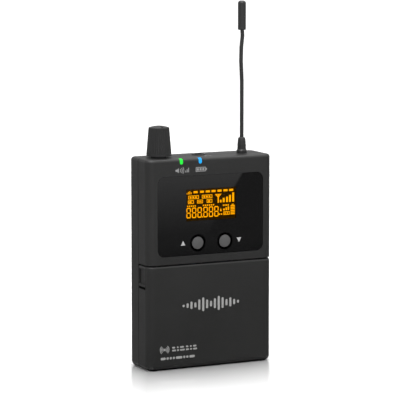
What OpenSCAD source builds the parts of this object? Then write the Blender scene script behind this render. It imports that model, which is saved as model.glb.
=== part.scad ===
// Body-pack wireless audio receiver, standing upright.
// X runs across the front, the front faces -Y, Z is up.
// The origin is the centre of the underside, so the pack rests on z = 0.
// All sizes are in millimetres.

/* [Case] */
// Width of the case across the front
body_w = 66; // [65:0.5:70]
// Depth of the case from front to back, without the clip
body_d = 22; // [22:0.2:24]
// Height of the case without knob and antenna
body_h = 101; // [100:1:106]
// Wall thickness of the mouldings
wall = 1.6; // [1.5:0.1:1.7]
// Height of the seam between the front cover and the battery door
seam_z = 50.5; // [50:0.1:51]

/* [Window and keys] */
// Width of the front window
window_w = 56; // [54:0.5:56]
// Height of the front window
window_h = 38.2; // [37.6:0.1:38.6]
// Width of the visible display
lcd_w = 26.4; // [24:0.2:28]
// Height of the visible display
lcd_h = 15.2; // [14:0.2:16]
// Diameter of the two round keys
key_d = 5.9; // [5.8:0.1:6.5]
// Distance between the key centres
key_pitch = 14.4; // [13:0.2:16]
// Travel of each key
key_travel = 0.4; // [0.3:0.1:0.4]

/* [Knob, socket and antenna] */
// Distance of the knob and the antenna from the middle
top_offset = 22.1; // [22:0.1:22.3]
// Height of the volume knob
knob_h = 14.3; // [13:0.1:15]
// Radius of the knob at its foot
knob_r = 6; // [5.7:0.1:6.1]
// Radius of the headphone socket bore
jack_r = 1.85; // [1.8:0.01:1.9]
// Height of the antenna tip above the case
antenna_h = 73.3; // [66:0.1:80]

/* [Battery door] */
// Radius of the hinge pins
pin_r = 0.5; // [0.4:0.05:0.5]
// Travel of each side latch
latch_travel = 1; // [0.9:0.1:1]

/* [Belt clip] */
// Width of the clip plate
clip_w = 22; // [18:1:26]
// Gap between the case and the clip for a belt
clip_gap = 6.5; // [5.5:0.5:7.5]

/* [Hidden] */
$fn = 64;
corner_r = 3.8;
top_r = 1.4;
bottom_r = 2.5;
parting = 0.15;
front_y = -body_d / 2;
rear_y = body_d / 2;
side_x = body_w / 2;
top_z = body_h;

window_z0 = 54.6;
window_z1 = window_z0 + window_h;
window_cz = (window_z0 + window_z1) / 2;
window_r = 3.5;
lens_y0 = front_y + 0.25;
lens_y1 = front_y + 1;
bezel_y0 = front_y + 1;
bezel_y1 = front_y + 1.6;
lcd_z0 = 71;
lcd_z1 = lcd_z0 + lcd_h;
lcd_cz = (lcd_z0 + lcd_z1) / 2;
key_z = 60.4;
key_x = [0.4 - key_pitch / 2, 0.4 + key_pitch / 2];
key_r = key_d / 2;

board_y0 = front_y + 5.6;
board_y1 = board_y0 + 1;
main_y1 = rear_y - 2.8;
main_y0 = main_y1 - 1;
spacer_x = 21.5;
spacer_z = [62, 86];

case_screw_x = side_x - 4.8;
case_screw_z = [57.5, 86];
tray_screw_x = 22;
tray_screw_z = 28;
clip_screw_x = 6;
clip_screw_z = 82;

knob_x = -top_offset;
knob_z = top_z + 0.8;
shaft_r = 2;
antenna_x = top_offset - 0.1;
jack_y = 2.4;
led_x = [-15.5, -5.6];
led_w = 1.6;

hinge_y = front_y + bottom_r;
hinge_z = bottom_r;
hinge_skin = 1.2;
arm_x = 20;
lug_x = 23.7;
door_z1 = seam_z - 0.2;
door_y1 = -0.3;
door_top_r = 1;
door_swing_r = seam_z + 0.05 - hinge_z;
latch_z0 = 39.1;
latch_y0 = front_y + 3.25;

cell_r = 7.25;
cell_l = 49.5;
cell_x = 8.2;
tray_back = rear_y - 5.5;
tray_z0 = 3.6;
tray_z1 = 56.2;
cell_y = tray_back - cell_r - 0.1;

clip_y0 = rear_y;
clip_t = 1;
clip_y1 = clip_y0 + clip_t + clip_gap - 1;
clip_bend_z = 90;

// ---- building blocks ----

module block(a, b) {
  translate(a) cube(b - a);
}

// cylinder along Y from y0 to y1
module rod_y(x, z, y0, y1, r) {
  translate([x, y1, z]) rotate([90, 0, 0]) cylinder(r = r, h = y1 - y0);
}

// cylinder along X from x0 to x1
module rod_x(x0, x1, y, z, r) {
  translate([x0, y, z]) rotate([0, 90, 0]) cylinder(r = r, h = x1 - x0);
}

// cylinder along Z from z0 to z1
module rod_z(x, y, z0, z1, r) {
  translate([x, y, z0]) cylinder(r = r, h = z1 - z0);
}

module both_sides() {
  children();
  mirror([1, 0, 0]) children();
}

// flat panel in the XZ plane between y0 and y1
module panel(y0, y1) {
  translate([0, y1, 0]) rotate([90, 0, 0]) linear_extrude(y1 - y0) children();
}

module round_rect(w, h, r) {
  square([w - 2 * r, h], center = true);
  square([w, h - 2 * r], center = true);
  for (sx = [-1, 1], sy = [-1, 1])
    translate([sx * (w / 2 - r), sy * (h / 2 - r)]) circle(r);
}

// plan of the case, drawn in by i
module outline(i = 0) {
  round_rect(body_w - 2 * i, body_d - 2 * i, corner_r - i);
}

// side profile reaching h from the middle, with rounded foot and head
module profile(h, z0, z1, rb, rt) {
  translate([0, z0 + rb]) square([h, z1 - z0 - rb - rt]);
  translate([0, z0]) square([h - rb, z1 - z0 - rt]);
  translate([0, z0 + rb]) square([h - rt, z1 - z0 - rb]);
  translate([h - rb, z0 + rb]) circle(rb);
  translate([h - rt, z1 - rt]) circle(rt);
}

module slab(h, length, z0, z1, rb, rt) {
  rotate([90, 0, 90]) translate([0, 0, -length / 2]) linear_extrude(length) {
    profile(h, z0, z1, rb, rt);
    mirror([1, 0]) profile(h, z0, z1, rb, rt);
  }
}

// outer form of the case between two heights, every edge rounded
module form(z0, z1, rb, rt) {
  for (sx = [-1, 1], sy = [-1, 1])
    translate([sx * (side_x - corner_r), sy * (rear_y - corner_r), 0])
      rotate_extrude() intersection() {
        profile(corner_r, z0, z1, rb, rt);
        translate([0, z0]) square([corner_r, z1 - z0]);
      }
  slab(rear_y, body_w - 2 * corner_r, z0, z1, rb, rt);
  rotate([0, 0, 90]) slab(side_x, body_d - 2 * corner_r, z0, z1, rb, rt);
}

module top_holes() {
  rod_z(knob_x, 0, top_z - 4, top_z + 2, 3.1);
  rod_z(antenna_x, 0, top_z - 4, top_z + 2, 1.8);
  rod_z(0, jack_y, top_z - 4, top_z + 2, 2.75);
}

module led_head(x, grow) {
  w = led_w / 2 + grow;
  foot = top_z - 2.65 + led_w / 2;
  block([x - w, front_y - 1, foot], [x + w, front_y + 2.1 + grow, top_z + 1]);
  rod_y(x, foot, front_y - 1, front_y + 2.1 + grow, w);
}

// pan-head screw along Y: head against y, shank towards -Y
module screw_from_back(x, y, z, head_r, head_h, shank_r, length) {
  difference() {
    rod_y(x, z, y, y + head_h, head_r);
    block([x - head_r, y + head_h - 0.35, z - 0.2], [x + head_r, y + head_h + 1, z + 0.2]);
    block([x - 0.2, y + head_h - 0.35, z - head_r], [x + 0.2, y + head_h + 1, z + head_r]);
  }
  rod_y(x, z, y - length, y + 0.1, shank_r);
}

module screw_from_front(x, y, z, head_r, head_h, shank_r, length) {
  difference() {
    rod_y(x, z, y - head_h, y, head_r);
    block([x - head_r, y - head_h - 1, z - 0.2], [x + head_r, y - head_h + 0.3, z + 0.2]);
    block([x - 0.2, y - head_h - 1, z - head_r], [x + 0.2, y - head_h + 0.3, z + head_r]);
  }
  rod_y(x, z, y - 0.1, y + length, shank_r);
}

// ---- case ----

module rear_shell() color("#2b2b2b") {
  difference() {
    union() {
      difference() {
        intersection() {
          form(0, top_z, bottom_r, top_r);
          block([-side_x - 1, parting, -1], [side_x + 1, rear_y + 1, top_z + 1]);
        }
        translate([0, 0, wall]) linear_extrude(body_h - 2 * wall) outline(wall);
      }
      // floor under the battery compartment
      block([-30.3, hinge_y + bottom_r + 0.15, 0], [30.3, 0.6, wall]);
      both_sides() {
        hinge_arm();
        for (z = case_screw_z)
          rod_y(case_screw_x, z, main_y1, rear_y - 1.1, 2.2);
        rod_y(tray_screw_x, tray_screw_z, front_y + 3.5, rear_y - 1.4, 2.4);
        rod_y(clip_screw_x, clip_screw_z, main_y1 + 0.2, rear_y - 1.4, 2.2);
        // ledge that the side latch hooks behind
        block([side_x - 2.45, parting, 42], [side_x - 1.4, 1, 48]);
      }
    }
    both_sides() {
      for (z = case_screw_z) {
        rod_y(case_screw_x, z, main_y1 - 1, rear_y + 1, 1);
        rod_y(case_screw_x, z, rear_y - 1.2, rear_y + 1, 2.1);
      }
      rod_y(tray_screw_x, tray_screw_z, front_y + 2, 2, 1);
      rod_y(clip_screw_x, clip_screw_z, main_y1 + 0.6, rear_y + 1, 1);
      rod_x(0, 30, hinge_y, hinge_z, pin_r);
    }
    top_holes();
  }
}

// curved-neck hinge arm rising from the floor and reaching over to the pin
module hinge_arm() {
  x0 = arm_x - 2;
  x1 = arm_x + 2;
  rod_x(x0, x1, hinge_y, hinge_z, 1);
  block([x0, hinge_y - 0.7, hinge_z], [x1, hinge_y + 0.7, 5.2]);
  block([x0, hinge_y - 0.7, 4], [x1, hinge_y + bottom_r + 1.4, 5.2]);
  block([x0, hinge_y + bottom_r + 0.15, 0.5], [x1, hinge_y + bottom_r + 1.4, 5.2]);
}

module front_shell() color("#333333") {
  difference() {
    union() {
      difference() {
        intersection() {
          form(seam_z + 0.15, top_z, 0.4, top_r);
          block([-side_x - 1, front_y - 1, 0], [side_x + 1, -parting, top_z + 1]);
        }
        linear_extrude(body_h - wall) outline(wall);
      }
      both_sides() for (z = case_screw_z) {
        rod_y(case_screw_x, z, front_y + 1.2, main_y0, 2.1);
        block([case_screw_x, front_y + corner_r, z - 0.5], [side_x - 1, -1, z + 0.5]);
      }
    }
    translate([0, 0, window_cz]) {
      panel(front_y - 1, front_y + 1.1) round_rect(window_w, window_h, window_r);
      panel(front_y - 1, front_y + 1.62) round_rect(window_w - 2.8, window_h - 2.8, window_r - 1.4);
    }
    both_sides() for (z = case_screw_z)
      rod_y(case_screw_x, z, -5, main_y0 + 1, 1);
    for (x = led_x) led_head(x, 0.05);
    top_holes();
  }
}

module case_screws() color("#6f6f72") {
  both_sides() for (z = case_screw_z)
    screw_from_back(case_screw_x, rear_y - 1.2, z, 1.9, 1, 0.97, 13);
}

// ---- window and display ----

module window_lens() color("#141416") {
  difference() {
    translate([0, 0, window_cz]) panel(lens_y0, lens_y1)
      round_rect(window_w - 0.2, window_h - 0.2, window_r - 0.1);
    for (x = key_x) rod_y(x, key_z, front_y, front_y + 2, key_r + 0.12);
  }
}

module window_gasket() color("#1d1d1d") {
  translate([0, 0, window_cz]) panel(lens_y1, front_y + 1.1) difference() {
    round_rect(window_w - 0.4, window_h - 0.4, window_r - 0.2);
    round_rect(window_w - 2.6, window_h - 2.6, window_r - 1.3);
  }
}

module display_bezel() color("#0c0c0d") {
  difference() {
    translate([0, 0, window_cz]) panel(bezel_y0, bezel_y1)
      round_rect(window_w - 3.2, window_h - 3.2, window_r - 1.6);
    block([-lcd_w / 2, front_y, lcd_z0], [lcd_w / 2, front_y + 3, lcd_z1]);
    for (x = key_x) rod_y(x, key_z, front_y, front_y + 3, key_r + 0.15);
  }
}

module lcd_panel() color("#3a2200") {
  block([-15.8, front_y + 1.65, lcd_cz - 10.6], [15.8, front_y + 3.4, lcd_cz + 10.6]);
}

module lcd_backlight() color("#ffb400") {
  block([-15.8, front_y + 3.5, lcd_cz - 10.6], [15.8, front_y + 5.4, lcd_cz + 10.6]);
}

module lcd_frame() color("#c9c9c4") {
  difference() {
    block([-17.4, front_y + 1.7, lcd_cz - 12.4], [17.4, board_y0, lcd_cz + 12]);
    block([-16, front_y + 1, lcd_cz - 10.8], [16, board_y0 + 1, lcd_cz + 10.8]);
  }
}

module display_board() color("#1f5c33") {
  difference() {
    block([-25.8, board_y0, 58.4], [25.8, board_y1, 93.4]);
    both_sides() for (z = spacer_z) rod_y(spacer_x, z, board_y0 - 1, board_y1 + 1, 0.9);
    // room for the potentiometer
    block([knob_x - 6, board_y0 - 1, 90], [knob_x + 6, board_y1 + 1, 94]);
  }
}

module display_screws() color("#b9b9bd") {
  both_sides() for (z = spacer_z)
    screw_from_front(spacer_x, board_y0, z, 1.7, 0.9, 0.8, 3.5);
}

module board_spacers() color("#c8a14a") {
  both_sides() for (z = spacer_z) difference() {
    translate([spacer_x, main_y0, z]) rotate([90, 0, 0]) cylinder(r = 2, h = main_y0 - board_y1, $fn = 6);
    rod_y(spacer_x, z, board_y1 - 1, board_y1 + 3, 0.85);
    rod_y(spacer_x, z, main_y0 - 3, main_y0 + 1, 0.85);
  }
}

module board_screws() color("#b9b9bd") {
  both_sides() for (z = spacer_z)
    screw_from_back(spacer_x, main_y1, z, 1.7, 0.9, 0.8, 3.5);
}

// ---- electronics ----

module main_board() color("#1f5c33") {
  difference() {
    block([-29.8, main_y0, 3.5], [29.8, main_y1, 98]);
    both_sides() {
      for (z = case_screw_z) rod_y(case_screw_x, z, main_y0 - 1, main_y1 + 1, 1.2);
      for (z = spacer_z) rod_y(spacer_x, z, main_y0 - 1, main_y1 + 1, 0.9);
      rod_y(tray_screw_x, tray_screw_z, main_y0 - 1, main_y1 + 1, 2.6);
    }
  }
}

module rf_shield_can() color("#bfc1c4") {
  difference() {
    block([-12, main_y0 - 3.6, 64], [14, main_y0, 84]);
    block([-11.7, main_y0 - 3.3, 64.3], [13.7, main_y0 + 1, 83.7]);
    for (x = [-8 : 4 : 10], z = [68 : 4 : 80]) rod_y(x, z, main_y0 - 5, main_y0 - 3, 0.6);
  }
}

module main_chips() color("#18181a") {
  block([-5, main_y0 - 1.2, 70], [3, main_y0, 78]);
  block([6, main_y0 - 1, 71], [11, main_y0, 76]);
  block([17, main_y0 - 1.2, 70], [22, main_y0, 76]);
  block([-28, main_y0 - 1.4, 68], [-18, main_y0, 78]);
  block([-28, main_y0 - 1, 40], [-20, main_y0, 48]);
  block([20, main_y0 - 3, 36], [25, main_y0, 46]);
}

module display_ribbon() color("#c98a2b") {
  block([-8, board_y1 + 1.2, 60.2], [8, main_y0 - 1.2, 60.5]);
}

module board_connectors() color("#e6e2d6") {
  block([-9, board_y1, 59.4], [9, board_y1 + 1.2, 61.4]);
  block([-9, main_y0 - 1.2, 59.4], [9, main_y0, 61.4]);
}

module led_pipe(x) {
  intersection() {
    form(0, top_z, bottom_r, top_r);
    led_head(x, 0);
  }
  block([x - 0.9, front_y + 1.8, top_z - 3], [x + 0.9, front_y + 4, top_z - wall - 0.2]);
  block([x - 0.9, front_y + 2.8, 91.5], [x + 0.9, front_y + 4, top_z - 2.5]);
  block([x - 0.9, front_y + 3.5, 91.5], [x + 0.9, board_y0 - 0.9, 93]);
}

module led_lens_green() color("#33f04a") {
  led_pipe(led_x[0]);
}

module led_lens_blue() color("#28b4ff") {
  led_pipe(led_x[1]);
}

module status_leds() color("#f2efe2") {
  for (x = led_x) block([x - 0.8, board_y0 - 0.8, 91.8], [x + 0.8, board_y0, 92.7]);
}

// ---- keys ----

// key seen along its own axis: z = 0 is the front plane of the case
module press_key(x) {
  dome_r = 12.6;
  translate([x, front_y, key_z]) rotate([90, 0, 0]) {
    translate([0, 0, -1.7]) cylinder(r = key_r, h = 1.3);
    intersection() {
      translate([0, 0, -0.5]) cylinder(r = key_r, h = 1);
      translate([0, 0, -dome_r]) sphere(r = dome_r, $fn = 96);
    }
    translate([0, 0, -2.25]) cylinder(r = 3.9, h = 0.6);
  }
}

module plunger(x) {
  rod_y(x, key_z, front_y + 2.25, board_y0 - 0.8, 1);
}

module up_button() color("#5e5e5e") {
  press_key(key_x[0]);
}

module up_plunger() color("#8a3a22") {
  plunger(key_x[0]);
}

module down_button() color("#5e5e5e") {
  press_key(key_x[1]);
}

module down_plunger() color("#8a3a22") {
  plunger(key_x[1]);
}

module tact_switches() color("#3c3c3c") {
  for (x = key_x) difference() {
    block([x - 2.2, board_y0 - 1.6, key_z - 1.9], [x + 2.2, board_y0, key_z + 2.2]);
    rod_y(x, key_z, board_y0 - 2, board_y0 - 0.3, 1.08);
  }
}

// ---- volume control ----

module volume_knob() color("#262626") {
  head_r = knob_r - 1;
  slope = atan(1 / (knob_h - 2.2));
  translate([knob_x, 0, knob_z]) difference() {
    rotate_extrude($fn = 96) intersection() {
      union() {
        polygon([[0, 0], [knob_r, 0], [knob_r, 0.6], [head_r, knob_h - 1.6], [0, knob_h - 1.6]]);
        square([head_r - 1.6, knob_h]);
        translate([head_r - 1.6, knob_h - 1.6]) circle(1.6);
      }
      translate([0, knob_h - 14]) circle(14);
    }
    for (a = [0 : 10 : 350]) rotate([0, 0, a])
      translate([knob_r + 0.02, 0, 0.9]) rotate([0, -slope, 0]) cylinder(r = 0.3, h = 20, $fn = 16);
    // bore for the shaft and recess over the nut
    translate([0, 0, -1]) cylinder(r = shaft_r, h = 12);
    translate([0, 0, -1]) cylinder(r = 4.4, h = 2.7);
    // index groove on the domed top
    block([-0.3, -head_r - 1, knob_h - 0.8], [0.3, -1.5, knob_h + 1]);
  }
}

module knob_shaft() color("#b8babd") {
  rod_z(knob_x, 0, top_z - 8.6, knob_z + 11, shaft_r);
}

module pot_rotor() color("#c8a14a") {
  difference() {
    rod_z(knob_x, 0, top_z - 8.2, top_z - 6.4, 3.8);
    rod_z(knob_x, 0, top_z - 9, top_z - 6, shaft_r);
  }
}

module volume_pot() color("#4a6a8c") {
  difference() {
    union() {
      block([knob_x - 5, -5, top_z - 10], [knob_x + 5, 5, top_z - 3.6]);
      rod_z(knob_x, 0, top_z - 4, top_z + 2, 3);
    }
    rod_z(knob_x, 0, top_z - 9.2, top_z - 5, 4.1);
    rod_z(knob_x, 0, top_z - 6, top_z + 3, shaft_r + 0.06);
  }
}

module pot_nut() color("#3a3a3c") {
  difference() {
    translate([knob_x, 0, top_z]) cylinder(r = 4.2, h = 0.65, $fn = 6);
    rod_z(knob_x, 0, top_z - 1, top_z + 2, 3.03);
  }
}

// ---- headphone socket ----

module jack_socket() color("#202022") {
  difference() {
    union() {
      block([-3.6, jack_y - 4, top_z - 15], [3.6, jack_y + 4, top_z - 1.7]);
      rod_z(0, jack_y, top_z - 2, top_z + 0.3, 2.65);
    }
    rod_z(0, jack_y, top_z - 13.7, top_z + 1, jack_r);
  }
}

module jack_ring() color("#3b3b3d") {
  difference() {
    rod_z(0, jack_y, top_z, top_z + 0.42, 3.35);
    rod_z(0, jack_y, top_z - 1, top_z + 1, 2.68);
  }
}

module jack_contacts() color("#d0b060") {
  for (z = [top_z - 13, top_z - 9.5, top_z - 6])
    block([-0.8, jack_y + 4, z], [0.8, main_y0, z + 0.4]);
}

// ---- antenna ----

module antenna_boot() color("#1c1c1c") {
  translate([antenna_x, 0, top_z]) difference() {
    rotate_extrude() {
      polygon([[0, 0], [2.5, 0], [2.5, 1.2], [2.12, 1.9], [2.08, 3.8], [1.88, 6.2], [1.7, 7], [0, 7]]);
      square([1.1, 7.6]);
      translate([1.0, 6.9]) circle(0.72);
    }
    translate([0, 0, -1]) cylinder(r = 1.5, h = 4);
    cylinder(r = 0.95, h = 12);
  }
}

// the whip is drawn through these [sideways, height] points
whip_path = [[0, 3], [0, 35], [-0.45, 44.5], [-0.3, 51], [0.3, 56.5], [0.1, 60.5], [0, 66]];

module antenna_whip() color("#1a1a1a") {
  translate([antenna_x, 0, top_z]) for (i = [0 : len(whip_path) - 2])
    hull() for (p = [whip_path[i], whip_path[i + 1]])
      translate([p[0], 0, p[1] - 0.05]) cylinder(r = 0.93, h = 0.1, $fn = 32);
}

module antenna_tip() color("#1c1c1c") {
  tip_r = 1.93;
  z0 = antenna_h - 14;
  translate([antenna_x, 0, top_z]) difference() {
    rotate_extrude() {
      polygon([[0, z0], [tip_r - 0.3, z0], [tip_r, z0 + 0.3], [tip_r, antenna_h - 1.3], [0, antenna_h - 1.3]]);
      intersection() {
        translate([tip_r - 1.3, antenna_h - 1.3]) circle(1.3);
        translate([0, antenna_h - 2]) square(4);
      }
      translate([0, antenna_h - 2]) square([tip_r - 1.3, 2]);
    }
    translate([0, 0, z0 - 1]) cylinder(r = 1.35, h = 8);
  }
}

module antenna_stud() color("#c8a14a") {
  translate([antenna_x, 0, 0]) {
    rod_z(0, 0, top_z - 5, top_z + 2.9, 1.45);
    rod_z(0, 0, top_z - 5, top_z - 0.1, 1.7);
  }
}

module antenna_nut() color("#b8babd") {
  difference() {
    translate([antenna_x, 0, top_z - 3.4]) cylinder(r = 3.2, h = 1.7, $fn = 6);
    rod_z(antenna_x, 0, top_z - 4, top_z, 1.72);
  }
}

module antenna_contact() color("#d0b060") {
  block([antenna_x - 1.2, -1, top_z - 5.4], [antenna_x + 1.2, main_y0, top_z - 5]);
  block([antenna_x - 1.2, main_y0 - 0.4, top_z - 8], [antenna_x + 1.2, main_y0, top_z - 5]);
}

// ---- battery compartment ----

module battery_tray() color("#2a2a2c") {
  difference() {
    union() {
      block([-17.3, front_y + 2.1, tray_z0 - 0.8], [17.3, tray_back + 1, tray_z1 + 1]);
      intersection() {
        translate([0, 0, 5.8]) linear_extrude(seam_z - 6.1) outline(2);
        block([-30.3, front_y + 2.1, 5], [30.3, front_y + 3.5, seam_z]);
      }
    }
    difference() {
      block([-16.1, front_y, tray_z0], [16.1, tray_back, tray_z1]);
      block([-0.5, front_y + 8, tray_z0 - 1], [0.5, tray_back + 1, tray_z1 + 1]);
    }
    block([-20, front_y, seam_z - 0.2], [20, front_y + 2.8, tray_z1 + 3]);
    both_sides() {
      block([side_x - 7.8, front_y, 37], [side_x, 0, seam_z + 1]);
      rod_y(tray_screw_x, tray_screw_z, front_y, front_y + 5, 1.05);
      rod_y(tray_screw_x, tray_screw_z, front_y, front_y + 2.9, 2.05);
    }
  }
}

module tray_screws() color("#b9b9bd") {
  both_sides() screw_from_front(tray_screw_x, front_y + 2.9, tray_screw_z, 1.9, 0.7, 0.97, 8);
}

// cell standing on its flat end
module cell() {
  difference() {
    cylinder(r = cell_r, h = cell_l);
    translate([0, 0, 49]) difference() {
      cylinder(r = 9, h = 1);
      translate([0, 0, -1]) cylinder(r = 5.9, h = 3);
    }
  }
  cylinder(r = 2.7, h = cell_l + 1);
}

module battery_cell_left() color("#2e2e30") {
  translate([-cell_x, cell_y, tray_z0 + 1.6]) cell();
}

module battery_cell_right() color("#2e2e30") {
  translate([cell_x, cell_y, tray_z1 - 1.6]) mirror([0, 0, 1]) cell();
}

module cone_spring() {
  rotate_extrude() {
    translate([3.8, 0.4]) circle(0.4);
    translate([3.2, 0.8]) circle(0.4);
    translate([2.6, 1.2]) circle(0.4);
  }
}

module battery_springs() color("#c4c6c9") {
  translate([-cell_x, cell_y, tray_z0]) cone_spring();
  translate([cell_x, cell_y, tray_z1]) mirror([0, 0, 1]) cone_spring();
}

module battery_plates() color("#c4c6c9") {
  block([-cell_x - 4, cell_y - 4, tray_z1 - 0.5], [-cell_x + 4, cell_y + 4, tray_z1]);
  block([cell_x - 4, cell_y - 4, tray_z0], [cell_x + 4, cell_y + 4, tray_z0 + 0.5]);
}

// ---- battery door ----

module battery_door() color("#2b2b2b") {
  difference() {
    union() {
      difference() {
        intersection() {
          form(0, door_z1, bottom_r, door_top_r);
          block([-side_x - 1, front_y - 1, -1], [side_x + 1, door_y1, door_z1 + 1]);
          rod_x(-side_x - 1, side_x + 1, hinge_y, hinge_z, door_swing_r);
        }
        translate([0, 0, hinge_z]) linear_extrude(body_h) outline(wall);
        // open underside behind the rounded lower edge
        block([-30.6, hinge_y, -1], [30.6, 1, hinge_z + 1]);
        rod_x(-30.6, 30.6, hinge_y, hinge_z, bottom_r - hinge_skin);
        // side openings for the latches
        both_sides()
          block([side_x - 3, latch_y0, latch_z0], [side_x + 1, 1, door_z1 + 1]);
      }
      both_sides() {
        // hinge lugs
        rod_x(lug_x - 1.5, lug_x + 1.5, hinge_y, hinge_z, 1.1);
        block([lug_x - 1.5, front_y + 1.2, hinge_z - 0.6], [lug_x + 1.5, hinge_y, hinge_z + 0.6]);
        // shelf and stop behind the latch
        block([side_x - 7.4, front_y + 1.5, 37.6], [side_x - 1.5, -1.5, 38.6]);
        block([side_x - 7.4, front_y + 1.5, 37.6], [side_x - 6.6, -3, 49.8]);
      }
    }
    both_sides() rod_x(0, 30, hinge_y, hinge_z, pin_r + 0.05);
  }
}

module hinge_pins() color("#c4c6c9") {
  both_sides() rod_x(arm_x - 2, lug_x + 1.5, hinge_y, hinge_z, pin_r);
}

// right-hand latch: pressed towards -X to free its hook
module latch() {
  difference() {
    union() {
      difference() {
        intersection() {
          form(0, door_z1, bottom_r, door_top_r);
          block([side_x - 6, latch_y0 + 0.15, latch_z0 + 1.15], [side_x + 1, door_y1 - 0.05, door_z1 + 1]);
        }
        linear_extrude(body_h) outline(1.4);
      }
      intersection() {
        block([side_x - 3.6, latch_y0 - 0.7, latch_z0 + 1.5], [side_x - 1.7, -0.9, door_z1 - 0.6]);
        linear_extrude(body_h) outline(wall + 0.2);
      }
      block([side_x - 2.2, latch_y0 + 1.9, latch_z0 + 1.5], [side_x - 1.3, -0.9, door_z1 - 0.6]);
      block([side_x - 3.6, -1.5, 43], [side_x - 2.6, 1.9, 47]);
      block([side_x - 3.6, 1.15, 43], [side_x - 1.9, 1.9, 47]);
    }
    // finger recess
    block([side_x - 0.6, latch_y0 + 0.55, 41.5], [side_x + 1, -0.8, 48.8]);
  }
}

module trimmed_latch() {
  intersection() {
    latch();
    rod_x(-side_x - 1, side_x + 1, hinge_y, hinge_z, door_swing_r);
  }
}

module latch_right() color("#2f2f2f") {
  trimmed_latch();
}

module latch_left() color("#2f2f2f") {
  mirror([1, 0, 0]) trimmed_latch();
}

module latch_coil() {
  translate([side_x - 6.6, -5, 45]) rotate([0, 90, 0]) rotate_extrude()
    for (i = [0 : 4]) translate([1.2 + 0.15 * (i % 2), 0.34 + 0.58 * i]) circle(0.32);
}

module latch_spring_right() color("#c4c6c9") {
  latch_coil();
}

module latch_spring_left() color("#c4c6c9") {
  mirror([1, 0, 0]) latch_coil();
}

// ---- belt clip ----

module clip_side() {
  mid = (clip_y0 + clip_y1 + clip_t) / 2;
  bend_r = (clip_y1 + clip_t - clip_y0) / 2;
  translate([clip_y0, 73]) square([clip_t, clip_bend_z - 73]);
  translate([clip_y1, 36]) square([clip_t, clip_bend_z - 36]);
  intersection() {
    difference() {
      translate([mid, clip_bend_z]) circle(bend_r);
      translate([mid, clip_bend_z]) circle(bend_r - clip_t);
    }
    translate([clip_y0 - 1, clip_bend_z]) square([20, 20]);
  }
  // the tongue bends in to hold the belt and out again as a lead-in
  polygon([
    [clip_y1, 36], [clip_y1 - 2.2, 30], [clip_y1 - 0.6, 25.2],
    [clip_y1 + 0.35, 25.5], [clip_y1 - 1.1, 30], [clip_y1 + clip_t, 36]
  ]);
}

module belt_clip() color("#8d8f92") {
  difference() {
    intersection() {
      translate([-clip_w / 2, 0, 0]) rotate([90, 0, 90]) linear_extrude(clip_w) clip_side();
      translate([0, 0, 62]) panel(rear_y - 1, rear_y + 20) round_rect(clip_w, 74, 4);
    }
    both_sides() {
      rod_y(clip_screw_x, clip_screw_z, rear_y - 1, rear_y + 2, 1.1);
      // access to the screws through the tongue
      rod_y(clip_screw_x, clip_screw_z, clip_y1 - 1, clip_y1 + 2, 2.2);
    }
  }
}

module clip_screws() color("#b9b9bd") {
  both_sides() screw_from_back(clip_screw_x, clip_y0 + clip_t, clip_screw_z, 1.9, 0.8, 0.97, 3);
}

rear_shell();
front_shell();
case_screws();
window_lens();
window_gasket();
display_bezel();
lcd_panel();
lcd_backlight();
lcd_frame();
display_board();
display_screws();
board_spacers();
board_screws();
main_board();
rf_shield_can();
main_chips();
display_ribbon();
board_connectors();
led_lens_green();
led_lens_blue();
status_leds();
up_button();
up_plunger();
down_button();
down_plunger();
tact_switches();
volume_knob();
knob_shaft();
pot_rotor();
volume_pot();
pot_nut();
jack_socket();
jack_ring();
jack_contacts();
antenna_boot();
antenna_whip();
antenna_tip();
antenna_stud();
antenna_nut();
antenna_contact();
battery_tray();
tray_screws();
battery_cell_left();
battery_cell_right();
battery_springs();
battery_plates();
battery_door();
hinge_pins();
latch_left();
latch_right();
latch_spring_left();
latch_spring_right();
belt_clip();
clip_screws();
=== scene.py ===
"""Looks for the body-pack wireless receiver: materials, printing, display, lights and camera."""

import math

import bmesh
import bpy
from mathutils import Matrix, Vector


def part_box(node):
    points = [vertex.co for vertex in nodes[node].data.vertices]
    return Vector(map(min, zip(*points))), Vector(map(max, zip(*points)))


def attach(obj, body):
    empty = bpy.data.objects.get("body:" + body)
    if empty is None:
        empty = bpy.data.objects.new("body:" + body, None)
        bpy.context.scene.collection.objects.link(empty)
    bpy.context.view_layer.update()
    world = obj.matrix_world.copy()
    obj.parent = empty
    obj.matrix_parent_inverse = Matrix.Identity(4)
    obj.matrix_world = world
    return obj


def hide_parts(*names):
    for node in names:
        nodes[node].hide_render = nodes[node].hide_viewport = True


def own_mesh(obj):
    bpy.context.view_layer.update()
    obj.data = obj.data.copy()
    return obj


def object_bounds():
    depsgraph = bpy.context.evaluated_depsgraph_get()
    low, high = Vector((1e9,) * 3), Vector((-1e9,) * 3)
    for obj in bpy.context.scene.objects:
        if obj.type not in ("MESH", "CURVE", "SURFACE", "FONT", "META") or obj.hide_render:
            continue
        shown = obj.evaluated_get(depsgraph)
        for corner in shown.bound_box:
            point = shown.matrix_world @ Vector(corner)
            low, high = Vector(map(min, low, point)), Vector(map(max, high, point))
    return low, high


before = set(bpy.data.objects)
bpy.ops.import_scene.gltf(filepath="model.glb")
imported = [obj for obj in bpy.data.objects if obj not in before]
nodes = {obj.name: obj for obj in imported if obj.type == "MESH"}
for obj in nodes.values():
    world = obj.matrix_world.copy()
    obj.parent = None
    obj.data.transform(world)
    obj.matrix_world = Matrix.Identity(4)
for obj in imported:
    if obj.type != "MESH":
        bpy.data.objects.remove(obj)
cad_lo, cad_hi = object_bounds()
scene = bpy.context.scene
MM = 0.001

# height over which the painted contact shadow at the foot of the case fades from near-black to its own
# colour
CONTACT_SHADE_LOW, CONTACT_SHADE_HIGH = 0.0008, 0.0022
# width and height of the lit display in millimetres, and where its middle lies across the front
LCD_W, LCD_H, LCD_X = 26.4, 15.2, 0.35
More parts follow.
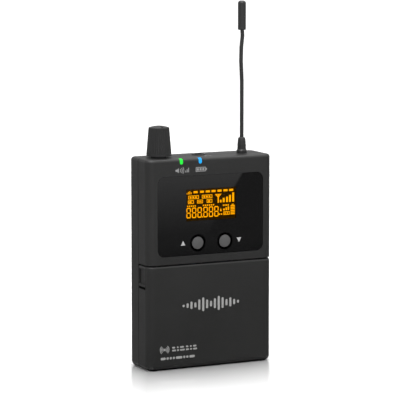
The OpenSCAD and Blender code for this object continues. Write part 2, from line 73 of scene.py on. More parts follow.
# the display's drawing is this much of its height, hung from just above its middle
LCD_FILL, LCD_MIDDLE = 0.972, 0.502
# black print: gap round each key, margin at the window's rim and its corner, in millimetres
KEY_GAP, RIM, RIM_CORNER = 0.2, 0.02, 3.4
# printed layers, in metres
FILM, PRINT = 0.00002, 0.00005
# direction of sight over the floor, and the direction across it
SIGHT_X, SIGHT_Y = 0.4367, 0.89
ACROSS_X, ACROSS_Y = 0.8978, 0.4405
# the floor's sheen reaches this far and is this strong next to the case
SHEEN_REACH, SHEEN = 0.2, 0.71
# half widths of the floor and of the reflection card, and the card's height over the floor
FLOOR_HALF, CARD_HALF, CARD_Z = 6, 3, 0.0005


# ---------------------------------------------------------------- materials


class Graph:
    """A material's node tree with short ways to add and join nodes."""

    def __init__(self, name):
        self.material = bpy.data.materials.new(name)
        self.material.use_nodes = True
        self.tree = self.material.node_tree
        self.shader = self.tree.nodes["Principled BSDF"]
        self.output = self.tree.nodes["Material Output"]

    def add(self, kind, **values):
        node = self.tree.nodes.new(kind)
        for key, value in values.items():
            if hasattr(node, key):
                setattr(node, key, value)
            else:
                node.inputs[key.replace("_", " ")].default_value = value
        return node

    def join(self, source, target):
        self.tree.links.new(source, target)

    def set(self, **values):
        for key, value in values.items():
            self.shader.inputs[key.replace("_", " ")].default_value = value

    def place(self, scale=(1, 1, 1)):
        """Object coordinates in metres, stretched by scale."""
        coord = self.add("ShaderNodeTexCoord")
        mapping = self.add("ShaderNodeMapping")
        mapping.inputs["Scale"].default_value = scale
        self.join(coord.outputs["Object"], mapping.inputs["Vector"])
        return mapping.outputs["Vector"]

    def noise(self, scale, detail=2.0, rough=0.5, stretch=(1, 1, 1)):
        node = self.add("ShaderNodeTexNoise", Scale=scale, Detail=detail, Roughness=rough)
        self.join(self.place(stretch), node.inputs["Vector"])
        return node.outputs["Fac"]

    def spread(self, source, low, high, start=0.3, end=0.7):
        """source from start..end becomes low..high."""
        node = self.add("ShaderNodeMapRange")
        for key, value in (("From Min", start), ("From Max", end), ("To Min", low), ("To Max", high)):
            node.inputs[key].default_value = value
        self.join(source, node.inputs["Value"])
        return node.outputs["Result"]

    def blend(self, factor, a, b):
        """Colour a where factor is 0 and b where it is 1."""
        node = self.add("ShaderNodeMix", data_type="RGBA")
        self.join(factor, node.inputs[0])
        for socket, value in ((node.inputs[6], a), (node.inputs[7], b)):
            if isinstance(value, tuple):
                socket.default_value = (*value[:3], 1)
            else:
                self.join(value, socket)
        return node.outputs[2]

    def maths(self, operation, a, b=None):
        node = self.add("ShaderNodeMath", operation=operation)
        for socket, value in zip(node.inputs, (a, b)):
            if isinstance(value, (int, float)):
                socket.default_value = value
            elif value is not None:
                self.join(value, socket)
        return node.outputs[0]

    def bump(self, height, strength, distance):
        node = self.add("ShaderNodeBump", Strength=strength, Distance=distance)
        self.join(height, node.inputs["Height"])
        self.join(node.outputs["Normal"], self.shader.inputs["Normal"])

    def axis(self, name):
        """One object coordinate, in metres."""
        split = self.add("ShaderNodeSeparateXYZ")
        self.join(self.place(), split.inputs[0])
        return split.outputs[name]


def moulded(name, colour, rough, grain=1900, depth=0.35, speckle=0.16, handling=0.05, painted_contact_shade=False):
    """Spark-eroded plastic or rubber: fine grain, slight speckle and handling marks; where asked, a painted
    contact shadow darkens the lowest edge and takes its gloss away.
    """
    g = Graph(name)
    fine = g.noise(grain, 3, 0.62)
    broad = g.noise(45, 3, 0.55)
    dark = tuple(c * (1 - speckle) for c in colour)
    light = tuple(min(1, c * (1 + speckle) + 0.001) for c in colour)
    tint = g.blend(g.spread(fine, 0, 1), dark, light)
    wear_and_contact_shade = g.blend(g.spread(broad, 0, 0.5), tint, tuple(min(1, c * 1.12 + 0.001) for c in colour))
    if painted_contact_shade:
        # painted contact shadow: the lowest edge is painted near-black and loses its gloss where the case
        # meets the table
        shade = g.spread(g.axis("Z"), 0, 1, CONTACT_SHADE_LOW, CONTACT_SHADE_HIGH)
        wear_and_contact_shade = g.blend(shade, (0.0006, 0.0006, 0.0006), wear_and_contact_shade)
        g.join(g.spread(shade, 0.03, 0.5, 0, 1), g.shader.inputs["Specular IOR Level"])
    g.join(wear_and_contact_shade, g.shader.inputs["Base Color"])
    mixed = g.maths("ADD", g.spread(fine, -0.04, 0.04), g.spread(broad, rough - handling, rough + handling))
    g.join(mixed, g.shader.inputs["Roughness"])
    g.bump(fine, depth, 0.00006)
    return g.material


def polished(name, colour, rough=0.06):
    """Gloss plastic with faint flow marks and dust-fine roughness changes."""
    g = Graph(name)
    broad = g.noise(90, 2, 0.5)
    tint = g.blend(g.spread(broad, 0, 1), tuple(c * 0.9 for c in colour), colour)
    g.join(tint, g.shader.inputs["Base Color"])
    g.join(g.spread(broad, rough * 0.8, rough * 1.3), g.shader.inputs["Roughness"])
    return g.material


def metal(name, colour, rough=0.3, stretch=(1, 1, 60), scale=160, depth=0.1):
    """Drawn or brushed metal: streaks along one axis in colour, gloss and relief."""
    g = Graph(name)
    streak = g.noise(scale, 4, 0.6, stretch)
    stain = g.noise(120, 2, 0.5)
    tint = g.blend(g.spread(streak, 0, 1), tuple(c * 0.8 for c in colour), colour)
    tint = g.blend(g.spread(stain, 0, 0.35), tint, tuple(c * 0.6 for c in colour))
    g.join(tint, g.shader.inputs["Base Color"])
    g.join(g.spread(streak, rough - 0.08, rough + 0.1), g.shader.inputs["Roughness"])
    g.bump(streak, depth, 0.00003)
    g.set(Metallic=1.0)
    return g.material


def lit(name, colour, strength, rough=0.3, core=0.25, **more):
    """Lamp-lit plastic that is a little uneven, as a light pipe is."""
    g = Graph(name)
    cloud = g.noise(700, 2, 0.5)
    pale = tuple(c + (1 - c) * core for c in colour)
    tint = g.blend(g.spread(cloud, 0, 1), colour, pale)
    g.join(tint, g.shader.inputs["Emission Color"])
    g.set(Base_Color=(*(c * 0.25 for c in colour), 1), Emission_Strength=strength, Roughness=rough, **more)
    return g.material


def circuit(name):
    """Green solder mask over fine copper tracks."""
    g = Graph(name)
    brick = g.add("ShaderNodeTexBrick", Scale=420.0, Mortar_Size=0.05, Brick_Width=1.7, Row_Height=0.3)
    turn = g.add("ShaderNodeMapping")
    turn.inputs["Rotation"].default_value = (math.radians(90), 0, 0)
    g.join(g.place(), turn.inputs["Vector"])
    g.join(turn.outputs["Vector"], brick.inputs["Vector"])
    cloud = g.noise(60, 2, 0.5)
    track = g.blend(brick.outputs["Fac"], (0.02, 0.12, 0.045), (0.05, 0.26, 0.1))
    g.join(g.blend(g.spread(cloud, 0, 0.6), track, (0.015, 0.1, 0.04)), g.shader.inputs["Base Color"])
    g.join(g.spread(cloud, 0.25, 0.4), g.shader.inputs["Roughness"])
    g.bump(brick.outputs["Fac"], 0.3, 0.00004)
    return g.material


def sleeve(name, node, plus_up):
    """Shrink sleeve on a round cell: grey-blue with a pale band, bare steel ends."""
    g = Graph(name)
    lo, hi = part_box(node)
    z = g.axis("Z")
    along = g.spread(z, 0, 1, lo.z, hi.z) if plus_up else g.spread(z, 1, 0, lo.z, hi.z)
    scuff = g.noise(500, 3, 0.6, (1, 1, 0.2))
    body = g.blend(g.spread(scuff, 0, 1), (0.03, 0.06, 0.1), (0.045, 0.085, 0.14))
    band = g.maths("MULTIPLY", g.maths("GREATER_THAN", along, 0.72), g.maths("LESS_THAN", along, 0.78))
    body = g.blend(band, body, (0.6, 0.61, 0.6))
    bare = g.maths("ADD", g.maths("GREATER_THAN", along, 0.972), g.maths("LESS_THAN", along, 0.014))
    g.join(g.blend(bare, body, (0.62, 0.63, 0.65)), g.shader.inputs["Base Color"])
    g.join(bare, g.shader.inputs["Metallic"])
    g.join(g.spread(scuff, 0.2, 0.34), g.shader.inputs["Roughness"])
    g.bump(scuff, 0.1, 0.00003)
    return g.material


def dress(material, *names):
    for name in names:
        for slot in nodes[name].material_slots:
            slot.material = material


# the case and the door get a painted contact shadow along their lowest edge
case = moulded("case_plastic", (0.0105, 0.0105, 0.0102), 0.47, painted_contact_shade=True)
door = moulded("door_plastic", (0.0105, 0.0105, 0.0102), 0.47, painted_contact_shade=True)
dress(case, "rear_shell", "front_shell")
dress(door, "battery_door", "latch_left", "latch_right")
dress(moulded("knob_rubber", (0.012, 0.012, 0.012), 0.5, 2400, 0.3), "volume_knob")
dress(moulded("antenna_rubber", (0.013, 0.013, 0.013), 0.42, 2600, 0.3), "antenna_boot", "antenna_tip")
dress(moulded("whip_sleeve", (0.013, 0.013, 0.013), 0.38, 3000, 0.2), "antenna_whip")
dress(moulded("key_plastic", (0.058, 0.058, 0.058), 0.5, 2600, 0.3), "up_button", "down_button")
dress(moulded("tray_plastic", (0.02, 0.02, 0.021), 0.5, 1500, 0.4), "battery_tray")
dress(moulded("gasket_foam", (0.012, 0.012, 0.012), 0.8, 4000, 0.6), "window_gasket")
dress(moulded("frame_plastic", (0.7, 0.7, 0.66), 0.45, 1200, 0.2), "lcd_frame")
dress(moulded("chip_epoxy", (0.02, 0.02, 0.02), 0.55, 2000, 0.3), "main_chips")
dress(moulded("switch_plastic", (0.04, 0.04, 0.04), 0.45, 2000, 0.3), "tact_switches")
dress(moulded("plunger_plastic", (0.25, 0.07, 0.03), 0.4, 2000, 0.2), "up_plunger", "down_plunger")
dress(moulded("connector_nylon", (0.72, 0.68, 0.56), 0.42, 1500, 0.2), "board_connectors")
dress(moulded("pot_moulding", (0.03, 0.09, 0.2), 0.4, 1500, 0.2), "volume_pot")
dress(polished("bezel_ink", (0.0035, 0.0035, 0.004), 0.12), "display_bezel")
dress(polished("socket_plastic", (0.01, 0.01, 0.01), 0.2), "jack_socket")
dress(polished("ribbon_film", (0.55, 0.26, 0.06), 0.25), "display_ribbon")
dress(circuit("circuit_board"), "display_board", "main_board")
screw_zinc = metal("screw_zinc", (0.6, 0.6, 0.62), 0.28)
dress(screw_zinc, "display_screws", "board_screws", "tray_screws", "clip_screws")
dress(metal("screw_black", (0.12, 0.12, 0.125), 0.35), "case_screws")
dress(metal("brass", (0.72, 0.5, 0.2), 0.25), "board_spacers", "antenna_stud", "pot_rotor")
dress(metal("gold_plate", (0.85, 0.6, 0.22), 0.2), "jack_contacts", "antenna_contact")
dress(metal("tin_plate", (0.66, 0.67, 0.68), 0.3, (1, 30, 1)), "rf_shield_can")
dress(metal("shaft_metal", (0.7, 0.7, 0.72), 0.22), "knob_shaft")
dress(metal("black_oxide", (0.05, 0.05, 0.052), 0.35), "pot_nut", "antenna_nut")
dress(metal("ring_metal", (0.11, 0.11, 0.112), 0.3), "jack_ring")
dress(metal("nickel", (0.68, 0.67, 0.64), 0.22), "battery_springs", "battery_plates", "hinge_pins")
spring_wire = metal("spring_wire", (0.6, 0.6, 0.6), 0.25)
dress(spring_wire, "latch_spring_left", "latch_spring_right")
dress(metal("clip_plate", (0.3, 0.3, 0.31), 0.33, (40, 1, 1), 300, 0.15), "belt_clip")
dress(lit("green_pipe", (0.012, 0.85, 0.045), 0.8, 0.5, 0.0, Specular_IOR_Level=0.25), "led_lens_green")
dress(lit("blue_pipe", (0.008, 0.42, 1.0), 0.8, 0.5, 0.0, Specular_IOR_Level=0.25), "led_lens_blue")
dress(lit("lamp_body", (0.9, 0.85, 0.6), 0.4), "status_leds")
dress(lit("light_guide", (1.0, 0.4, 0.0), 0.4), "lcd_backlight")
dress(lit("display_ground", (0.010, 0.0045, 0.0), 0.6, 0.5, 0.0, Specular_IOR_Level=0.0), "lcd_panel")
dress(sleeve("cell_sleeve_left", "battery_cell_left", True), "battery_cell_left")
dress(sleeve("cell_sleeve_right", "battery_cell_right", False), "battery_cell_right")


def window_glass():
    """Clear acrylic with an anti-reflection coat, almost flawless."""
    g = Graph("window_acrylic")
    haze = g.noise(220, 2, 0.5)
    tint = g.blend(g.spread(haze, 0, 1), (0.9, 0.9, 0.9), (0.94, 0.94, 0.94))
    g.join(tint, g.shader.inputs["Base Color"])
    g.join(g.spread(haze, 0.0, 0.004), g.shader.inputs["Roughness"])
    g.set(Transmission_Weight=1.0, IOR=1.15)
    return g.material


dress(window_glass(), "window_lens")


# ---------------------------------------------------------------- flat shapes


def add_piece(name, mesh, material, body):
    mesh.materials.append(material)
    piece = bpy.data.objects.new(name, mesh)
    scene.collection.objects.link(piece)
    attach(piece, body)
    return piece


def flat_piece(name, loops, origin, right, up, thick, material, body):
    """Closed outlines [(u, v), ...] in millimetres as thin raised printing on a plane."""
    origin, right, up = Vector(origin), Vector(right), Vector(up)
    out = right.cross(up)
    bm = bmesh.new()
    for loop in loops:
        area = sum(a[0] * b[1] - b[0] * a[1] for a, b in zip(loop, loop[1:] + loop[:1]))
        loop = loop if area > 0 else loop[::-1]
        base = [origin + (right * u + up * v) * MM for u, v in loop]
        low = [bm.verts.new(p - out * thick * 0.5) for p in base]
        high = [bm.verts.new(p + out * thick * 0.5) for p in base]
        bm.faces.new(high)
        bm.faces.new(low[::-1])
        for i in range(len(loop)):
            j = (i + 1) % len(loop)
            bm.faces.new((low[i], low[j], high[j], high[i]))
    mesh = bpy.data.meshes.new(name)
    bm.to_mesh(mesh)
    bm.free()
    return add_piece(name, mesh, material, body)


def bar(u0, v0, u1, v1, r=0.0, steps=4):
    """Rectangle with rounded corners."""
    if r <= 0:
        return [(u0, v0), (u1, v0), (u1, v1), (u0, v1)]
    points = []
    lower, upper = v0 + r, v1 - r
    corners = ((u1 - r, lower, -90), (u1 - r, upper, 0), (u0 + r, upper, 90), (u0 + r, lower, 180))
    for cu, cv, start in corners:
        for i in range(steps + 1):
            a = math.radians(start + 90 * i / steps)
            points.append((cu + r * math.cos(a), cv + r * math.sin(a)))
    return points


def hollow(u0, v0, u1, v1, t):
    """Rectangle outline of line width t, as four bars."""
    return [
        bar(u0, v0, u1, v0 + t),
        bar(u0, v1 - t, u1, v1),
        bar(u0, v0 + t, u0 + t, v1 - t),
        bar(u1 - t, v0 + t, u1, v1 - t),
    ]


def disc(u, v, r, steps=20):
    angles = [2 * math.pi * i / steps for i in range(steps)]
    return [(u + r * math.cos(a), v + r * math.sin(a)) for a in angles]


def arc(u, v, r, t, a0, a1, steps=10):
    """Part of a ring of mean radius r and line width t."""
    angles = [math.radians(a0 + (a1 - a0) * i / steps) for i in range(steps + 1)]
    outer = [(u + (r + t / 2) * math.cos(a), v + (r + t / 2) * math.sin(a)) for a in angles]
    inner = [(u + (r - t / 2) * math.cos(a), v + (r - t / 2) * math.sin(a)) for a in angles]
    return outer + inner[::-1]


def moved(loops, du, dv, scale=1.0):
    return [[(u * scale + du, v * scale + dv) for u, v in loop] for loop in loops]


# ---------------------------------------------------------------- latch springs


def coil(name, node):
    """The spring's own coil once more, as a piece of its own carried by the door, with the spring part
    itself hidden.
    """
    bm = bmesh.new()
    bm.from_mesh(nodes[node].data)
    mesh = bpy.data.meshes.new(name)
    bm.to_mesh(mesh)
    bm.free()
    piece = add_piece(name, mesh, spring_wire, "door")
    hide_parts(node)
    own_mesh(piece)


coil("latch_coil_left", "latch_spring_left")
coil("latch_coil_right", "latch_spring_right")


# ---------------------------------------------------------------- display

lens_lo, lens_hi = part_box("window_lens")
glass_lo, glass_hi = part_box("lcd_panel")
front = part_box("front_shell")[0].y
lcd_mid = (glass_lo.z + glass_hi.z) / 2


def lcd_loops():
    """Everything lit on the display, as fractions of its width and height from the top left."""
    loops = []

    def box(u0, v0, u1, v1):
        loops.append([(u0, v0), (u1, v0), (u1, v1), (u0, v1)])

    def outline(u0, v0, u1, v1, tu=0.012, tv=0.02):
        box(u0, v0, u1, v0 + tv)
        box(u0, v1 - tv, u1, v1)
        box(u0, v0 + tv, u0 + tu, v1 - tv)
        box(u1 - tu, v0 + tv, u1, v1 - tv)

    def dashes(u0, v0, u1, v1, count):
        pitch = (u1 - u0) / count
        for i in range(count):
            box(u0 + i * pitch, v0, u0 + (i + 0.62) * pitch, v1)

    # top row: a level meter
    for i, v0 in enumerate((0.12, 0.085, 0.058, 0.1)):
        box(0.018 + i * 0.027, v0, 0.032 + i * 0.027, 0.164)
    left = ((0.154, 0.236), (0.284, 0.361), (0.399, 0.481), (0.514, 0.596))
    for u0, u1 in left + ((0.635, 0.716), (0.755, 0.837), (0.870, 0.952)):
        box(u0, 0.07, u1, 0.137)
    # mode fields: filled tablets with gaps in them
    for u0, u1 in ((0.048, 0.260), (0.322, 0.529)):
        outline(u0, 0.21, u1, 0.325)
        dashes(u0 + 0.03, 0.245, u1 - 0.02, 0.292, 3)
    for u0, u1, count in ((0.043, 0.159, 1), (0.226, 0.341, 2), (0.418, 0.529, 1)):
        outline(u0, 0.36, u1, 0.475)
        dashes(u0 + 0.025, 0.395, u1 - 0.015, 0.442, count)
    # aerial and signal strength
    loops.append([(0.582, 0.21), (0.716, 0.21), (0.700, 0.232), (0.598, 0.232)])
    loops.append([(0.582, 0.21), (0.604, 0.21), (0.660, 0.318), (0.640, 0.318)])
    loops.append([(0.694, 0.21), (0.716, 0.21), (0.660, 0.318), (0.640, 0.318)])
    box(0.638, 0.21, 0.661, 0.497)
    low = ((0.683, 0.716, 0.403), (0.740, 0.779, 0.348), (0.808, 0.844, 0.316))
    for u0, u1, top in low + ((0.867, 0.906, 0.262), (0.933, 0.971, 0.189)):
        box(u0, top, u1, 0.49)
    # small print stands in as dashes
    dashes(0.024, 0.528, 0.212, 0.572, 5)
    dashes(0.341, 0.528, 0.582, 0.572, 6)
    dashes(0.745, 0.562, 0.875, 0.612, 4)
    dashes(0.663, 0.846, 0.745, 0.892, 2)
    # six seven-segment figures
    for centre in (0.056, 0.165, 0.276, 0.394, 0.503, 0.613):
        loops.extend(figure(centre, 0.60, 0.94, 0.088))
    box(0.326, 0.905, 0.344, 0.94)
    # volume
    loops.append([(0.683, 0.774), (0.721, 0.774), (0.702, 0.668)])
    for u0, u1, top in ((0.750, 0.784, 0.696), (0.798, 0.827, 0.663), (0.841, 0.870, 0.637)):
        box(u0, top, u1, 0.755)
    outline(0.755, 0.792, 0.880, 0.905)
    dashes(0.775, 0.828, 0.868, 0.870, 2)
    # battery gauge
    box(0.922, 0.561, 0.963, 0.590)
    for i in range(6):
        box(0.899, 0.600 + i * 0.053, 0.986, 0.636 + i * 0.053)
    return loops


def figure(centre, top, bottom, width):
    """Seven lit segments of the figure 8, slightly separated."""
    t, tv, gap = 0.018, 0.034, 0.006
    u0, u1, mid = centre - width / 2, centre + width / 2, (top + bottom) / 2
    out = []
    a, b = u0 + gap, u1 - gap
    for v in (top, mid - tv / 2, bottom - tv):
        upper = [(a, v + tv / 2), (a + t / 2, v), (b - t / 2, v)]
        out.append(upper + [(b, v + tv / 2), (b - t / 2, v + tv), (a + t / 2, v + tv)])
    for u in (u0, u1 - t):
        for v0, v1 in ((top, mid), (mid, bottom)):
            a, b = v0 + tv / 2 + gap, v1 - tv / 2 - gap
            upper = [(u, a + tv / 3), (u + t / 2, a), (u + t, a + tv / 3)]
            out.append(upper + [(u + t, b - tv / 3), (u + t / 2, b), (u, b - tv / 3)])
    return out


def cut_sheet(name, outline, holes, y, thick, material, body):
    """Flat sheet facing the front, in millimetres on x and z, with holes cut through it."""
    curve = bpy.data.curves.new(name, "CURVE")
    curve.dimensions = "2D"
    curve.fill_mode = "BOTH"
    curve.extrude = thick / 2
    for loop in [outline] + holes:
        spline = curve.splines.new("POLY")
        spline.points.add(len(loop) - 1)
        for point, (u, v) in zip(spline.points, loop):
            point.co = (u * MM, v * MM, 0, 1)
        spline.use_cyclic_u = True
    shape = bpy.data.objects.new(name, curve)
    scene.collection.objects.link(shape)
    bpy.context.view_layer.update()
    mesh = bpy.data.meshes.new_from_object(shape)
    bpy.data.objects.remove(shape)
    mesh.transform(Matrix.Translation((0, y, 0)) @ Matrix.Rotation(math.radians(90), 4, "X"))
    mesh.name = name
    mesh.materials.clear()
    return add_piece(name, mesh, material, body)


lens_back = lens_hi.y
keys = [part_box(name) for name in ("up_button", "down_button")]
key_holes = []
for lo, hi in keys:
    key_r = (hi.x - lo.x) / 2 / MM
    key_holes.append(disc((lo.x + hi.x) / 2 / MM, (lo.z + hi.z) / 2 / MM, key_r + KEY_GAP, 48))
mid = lcd_mid / MM
opening = bar(LCD_X - LCD_W / 2, mid - LCD_H / 2, LCD_X + LCD_W / 2, mid + LCD_H / 2)
edge = bar(
    lens_lo.x / MM + RIM, lens_lo.z / MM + RIM, lens_hi.x / MM - RIM, lens_hi.z / MM - RIM,
    RIM_CORNER, 12,
)
ink_black = polished("window_black", (0.0022, 0.0022, 0.0023), 0.003)
window_ink = cut_sheet(
    "window_black", edge, [opening] + key_holes, lens_lo.y - 0.00001, FILM, ink_black, "case"
)
film = cut_sheet(
    "display_film", opening, [], lens_back - 0.00003, FILM,
    lit("display_film", (0.02, 0.0085, 0.0), 0.9, 0.5, 0.0, Specular_IOR_Level=0.0), "case",
)

lcd_shapes = []
for loop in lcd_loops():
    lcd_shapes.append([((u - 0.5) * LCD_W, (LCD_MIDDLE - v * LCD_FILL) * LCD_H) for u, v in loop])
segments = flat_piece(
    "display_segments", lcd_shapes, (LCD_X * MM, lens_back - 0.00006, lcd_mid),
    (1, 0, 0), (0, 0, 1), 0.00003,
    lit("lit_segments", (1.0, 0.38, 0.0), 1.0, 0.5, 0.0, Specular_IOR_Level=0.0), "case",
)


# ---------------------------------------------------------------- printing

ink = moulded("pad_print_ink", (0.25, 0.25, 0.245), 0.5, 2500, 0.2, 0.08)
dim_ink = moulded("pad_print_grey", (0.22, 0.22, 0.22), 0.5, 2500, 0.2, 0.08)
gloss_ink = moulded("window_print", (0.34, 0.34, 0.34), 0.4, 2500, 0.1, 0.06)


def front_print(name, loops, x, z, material, body="case", y=front):
    piece = flat_piece(name, loops, (x * MM, y, z * MM), (1, 0, 0), (0, 0, 1), PRINT, material, body)
    return piece


# waveform mark in the middle of the door
heights = (1.2, 2.2, 3.6, 2.4, 5.0, 6.6, 4.2, 2.8, 4.8, 6.8, 5.2, 3.0, 4.4, 2.6, 1.4)
wave_w, half_bar = 31.1, 0.56
step = wave_w / len(heights)
wave = []
for i, h in enumerate(heights):
    u = -wave_w / 2 + step * (i + 0.5)
    wave.append(bar(u - half_bar, -h / 2, u + half_bar, h / 2, 0.5))
front_print("door_wave_mark", wave, 0.05, 30.6, ink, "door")

# two rows of plain marks low on the door: rising waves and dashes
row = [disc(1.2, 0.0, 0.62)]
for r in (1.7, 2.9, 4.1):
    row.append(arc(1.2, 0.0, r * 0.62, 0.42, -48, 48))
    row.append(arc(1.2, 0.0, r * 0.62, 0.42, 132, 228))
widths = (2.2, 1.2, 2.8, 1.8, 1.2, 2.4)
for i, w in enumerate(widths):
    start = 5.6 + sum(widths[:i]) + 0.62 * i
    row.append(bar(start, -1.25, start + w, -0.35, 0.4))
    row.append(bar(start, 0.3, start + w * 0.8, 1.2, 0.4))
front_print("door_wave_symbol", moved(row, 0, 0, 0.9), -25.6, 10.2, ink, "door")
dashes = []
start = 0.0
for w in (2.6, 1.1, 1.1, 1.1, 3.4, 1.1, 1.1, 2.8):
    dashes.append(bar(start, -0.6, start + w, 0.6, 0.5))
    start += w + 0.52
front_print("door_dash_row", dashes, -26.6, 5.9, ink, "door")

# lamp symbols: a loudspeaker and a battery
speaker = [
    [(-3.4, -0.5), (-2.7, -0.5), (-1.7, -1.2), (-1.7, 1.2), (-2.7, 0.5), (-3.4, 0.5)],
    arc(-1.7, 0, 1.0, 0.3, -45, 45),
    arc(-1.7, 0, 1.8, 0.3, -42, 42),
    arc(-1.7, 0, 2.6, 0.3, -36, 36),
]
for i, h in enumerate((0.9, 1.5, 2.1)):
    speaker.append(bar(1.7 + i * 0.75, -1.0, 2.1 + i * 0.75, -1.0 + h))
front_print("lamp_symbol_sound", speaker, -15.2, 95.5, dim_ink)
battery = hollow(-2.9, -1.05, 2.3, 1.05, 0.32)
battery.append(bar(2.4, -0.5, 2.9, 0.5))
for i in range(3):
    battery.append(bar(-2.35 + i * 1.45, -0.5, -1.35 + i * 1.45, 0.5))
front_print("lamp_symbol_battery", battery, -5.1, 95.6, dim_ink)

# arrows beside the keys, printed on the front of the window
arrow = [[(-1.2, -1.0), (1.2, -1.0), (0.0, 1.25)]]
front_print("arrow_up", arrow, -14.6, 60.6, gloss_ink, y=lens_lo.y - 0.00003)
turned = [[(u, -v) for u, v in arrow[0]]]
front_print("arrow_down", turned, 15.1, 60.6, gloss_ink, y=lens_lo.y - 0.00003)

# headphone symbol on the top, in front of the socket
phones = [
    arc(0, -0.3, 1.5, 0.32, 0, 180, 16),
    bar(-1.85, -1.5, -1.05, 0.1, 0.25),
    bar(1.05, -1.5, 1.85, 0.1, 0.25),
]
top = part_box("rear_shell")[1].z
phone_mark = flat_piece(
    "socket_symbol", moved(phones, 0, 0, 0.9), (0.0015, -0.0042, top),
    (1, 0, 0), (0, 1, 0), PRINT, dim_ink, "case",
)


# ---------------------------------------------------------------- studio


def floor_material():
    """White table; a sheen in front of the part mirrors it and dies away over SHEEN_REACH."""
    g = Graph("studio_floor")
    cloud = g.noise(3, 2, 0.5)
    paint = g.add("ShaderNodeBsdfDiffuse")
    g.join(g.blend(g.spread(cloud, 0, 1), (0.94, 0.94, 0.94), (0.97, 0.97, 0.97)), paint.inputs["Color"])
    sheen = g.add("ShaderNodeBsdfGlossy", Roughness=0.09)
    # distance in front of the case along the line of sight
    ahead = g.maths("DIVIDE", g.maths("SUBTRACT", cad_lo.y, g.axis("Y")), SIGHT_Y)
    aside = g.maths("DIVIDE", g.maths("SUBTRACT", cad_lo.x, g.axis("X")), SIGHT_X)
    away = g.maths("MAXIMUM", ahead, aside)
    fade = g.maths("POWER", g.spread(away, 1, 0, 0, SHEEN_REACH), 2.4)
    near = g.maths("GREATER_THAN", away, -0.003)
    # distance to either side of the line of sight through the middle of the case
    across_x = g.maths("MULTIPLY", g.axis("X"), ACROSS_X)
    across = g.maths("SUBTRACT", across_x, g.maths("MULTIPLY", g.axis("Y"), ACROSS_Y))
    beside = g.maths("MULTIPLY", near, g.spread(g.maths("ABSOLUTE", across), 1, 0, 0.0325, 0.0345))
    mix = g.add("ShaderNodeMixShader")
    g.join(g.maths("MULTIPLY", g.maths("MULTIPLY", fade, SHEEN), beside), mix.inputs[0])
    g.join(paint.outputs[0], mix.inputs[1])
    g.join(sheen.outputs[0], mix.inputs[2])
    # the table gets a little light of its own further back, so that it stays white to the edge
    glow = g.add("ShaderNodeEmission")
    g.join(g.spread(g.axis("Y"), 0, 0.3, 0.3, 2.5), glow.inputs["Strength"])
    total = g.add("ShaderNodeAddShader")
    g.join(mix.outputs[0], total.inputs[0])
    g.join(glow.outputs[0], total.inputs[1])
    g.join(total.outputs[0], g.output.inputs["Surface"])
    return g.material


def sheet_mesh(name, corners):
    bm = bmesh.new()
    bm.faces.new([bm.verts.new(c) for c in corners])
    mesh = bpy.data.meshes.new(name)
    bm.to_mesh(mesh)
    bm.free()
    return mesh


floor_corners = [(x * FLOOR_HALF, y * FLOOR_HALF, 0) for x, y in ((-1, -1), (1, -1), (1, 1), (-1, 1))]
floor = bpy.data.objects.new("studio_floor", sheet_mesh("studio_floor", floor_corners))
floor.data.materials.append(floor_material())
scene.collection.objects.link(floor)


def area_light(name, place, target, size, power):
    data = bpy.data.lights.new(name, "AREA")
    data.shape = "RECTANGLE"
    data.size, data.size_y = size
    data.energy = power
    lamp = bpy.data.objects.new(name, data)
    lamp.location = place
    lamp.rotation_mode = "QUATERNION"
    lamp.rotation_quaternion = (Vector(target) - Vector(place)).to_track_quat("-Z", "Y")
    scene.collection.objects.link(lamp)
    return lamp


centre = (0, 0, 0.07)
area_light("key_light", (-0.36, -0.55, 1.3), centre, (0.9, 0.9), 12)
area_light("top_light", (0.2, 0.3, 1.5), centre, (1.4, 1.4), 12)


def level_ramp(tree, source, stops):
    """Grey level read from source at the given stops."""
    ramp = tree.nodes.new("ShaderNodeValToRGB")
    elements = ramp.color_ramp.elements
    while len(elements) < len(stops):
        elements.new(0.5)
    for element, (place, level) in zip(elements, stops):
        element.position = place
        element.color = (level, level, level, 1)
    tree.links.new(source, ramp.inputs[0])
    return ramp.outputs["Color"]


def studio_world():
    """Soft box all round: white low behind, dim low in front, bright overhead."""
    world = bpy.data.worlds.new("studio")
    world.use_nodes = True
    tree = world.node_tree
    background = tree.nodes["Background"]
    coord = tree.nodes.new("ShaderNodeTexCoord")
    split = tree.nodes.new("ShaderNodeSeparateXYZ")
    tree.links.new(coord.outputs["Generated"], split.inputs[0])
    low_to_high = [(0.0, 0.64), (0.18, 0.64), (0.3, 0.45), (0.6, 0.45), (0.85, 1.0)]
    behind = level_ramp(tree, split.outputs["Z"], low_to_high)
    ahead = level_ramp(tree, split.outputs["Z"], [(0.0, 0.6), (0.12, 0.6), (0.42, 1.1)])
    side = tree.nodes.new("ShaderNodeMapRange")
    for key, value in (("From Min", -0.2), ("From Max", 0.25)):
        side.inputs[key].default_value = value
    tree.links.new(split.outputs["Y"], side.inputs["Value"])
    mix = tree.nodes.new("ShaderNodeMix")
    mix.data_type = "RGBA"
    tree.links.new(side.outputs["Result"], mix.inputs[0])
    tree.links.new(ahead, mix.inputs[6])
    tree.links.new(behind, mix.inputs[7])
    tree.links.new(mix.outputs[2], background.inputs["Color"])
    background.inputs["Strength"].default_value = 1.0
    return world


scene.world = studio_world()


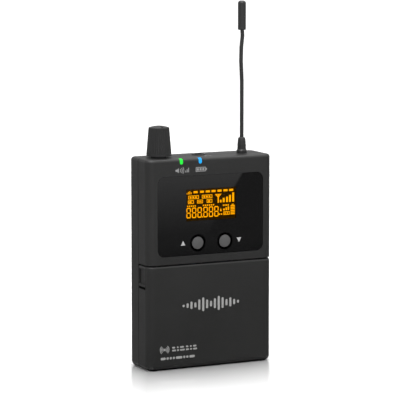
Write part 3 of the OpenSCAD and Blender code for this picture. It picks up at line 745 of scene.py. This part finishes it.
def reflection_card():
    """The floor as gloss sees it: dim, with a pale wedge to the left of a slanted edge."""
    g = Graph("reflection_card")
    x, y = g.axis("X"), g.axis("Y")
    # the edge starts here and runs back and to the left; side is positive to its left
    edge_x, edge_y = 0.3673, -0.6922
    run_x, run_y = 0.5175, 0.8557
    left_of = g.maths("MULTIPLY", g.maths("SUBTRACT", edge_x, x), run_y)
    side = g.maths("SUBTRACT", left_of, g.maths("MULTIPLY", g.maths("ADD", y, -edge_y), run_x))
    mask = g.spread(side, 0, 1, -0.001, 0.001)
    fade = g.spread(y, 0.75, 0.2, -0.70, -0.40)
    plain = g.maths("ADD", g.spread(y, 0.17, 0.04, -0.36, -0.26), g.spread(y, 0.6, 0.0, -1.0, -0.78))
    plain = g.maths("ADD", plain, g.spread(y, 0.0, 0.19, -0.02, 0.02))
    excess = g.maths("MULTIPLY", g.maths("MAXIMUM", g.maths("SUBTRACT", fade, 0.17), 0.0), mask)
    excess = g.maths("MULTIPLY", excess, g.spread(y, 1.0, 0.0, -0.40, -0.30))
    level = g.maths("ADD", plain, excess)
    emission = g.add("ShaderNodeEmission")
    g.join(level, emission.inputs["Strength"])
    clear = g.add("ShaderNodeBsdfTransparent")
    below = g.add("ShaderNodeNewGeometry")
    mix = g.add("ShaderNodeMixShader")
    g.join(below.outputs["Backfacing"], mix.inputs[0])
    g.join(emission.outputs[0], mix.inputs[1])
    g.join(clear.outputs[0], mix.inputs[2])
    g.join(mix.outputs[0], g.output.inputs["Surface"])
    return g.material


def ring_mesh(name, inner, outer, z):
    """Flat ring between two rectangles (x0, y0, x1, y1), facing up."""
    bm = bmesh.new()
    rows = []
    for x0, y0, x1, y1 in (inner, outer):
        rows.append([bm.verts.new(c) for c in ((x0, y0, z), (x1, y0, z), (x1, y1, z), (x0, y1, z))])
    for i in range(4):
        j = (i + 1) % 4
        bm.faces.new((rows[1][i], rows[1][j], rows[0][j], rows[0][i]))
    mesh = bpy.data.meshes.new(name)
    bm.to_mesh(mesh)
    bm.free()
    return mesh


# the hole keeps the card clear of the case
card_hole = (-0.034, -0.0115, 0.034, 0.0125)
card_rim = (-CARD_HALF, -CARD_HALF, CARD_HALF, CARD_HALF)
card = bpy.data.objects.new("reflection_card", ring_mesh("reflection_card", card_hole, card_rim, CARD_Z))
card.data.materials.append(reflection_card())
scene.collection.objects.link(card)
card.visible_camera = card.visible_diffuse = card.visible_shadow = False
card.visible_transmission = card.visible_volume_scatter = False


# ---------------------------------------------------------------- camera

# a long lens from in front, a little to the left and slightly above
camera_place = (-0.4742, -0.965683, 0.2219)
data = bpy.data.cameras.new("camera")
data.sensor_width = 36
data.lens = 203.52
data.clip_start, data.clip_end = 0.05, 50
camera = bpy.data.objects.new("camera", data)
right = Vector((0.89775, -0.440506, -0.000211))
back = Vector((-0.43666, -0.889975, 0.131425))
up = back.cross(right).normalized()
basis = Matrix((right, up, back)).transposed().to_4x4()
camera.matrix_world = Matrix.Translation(camera_place) @ basis
scene.collection.objects.link(camera)
scene.camera = camera
scene.view_settings.view_transform = "Standard"
scene.view_settings.look = "None"
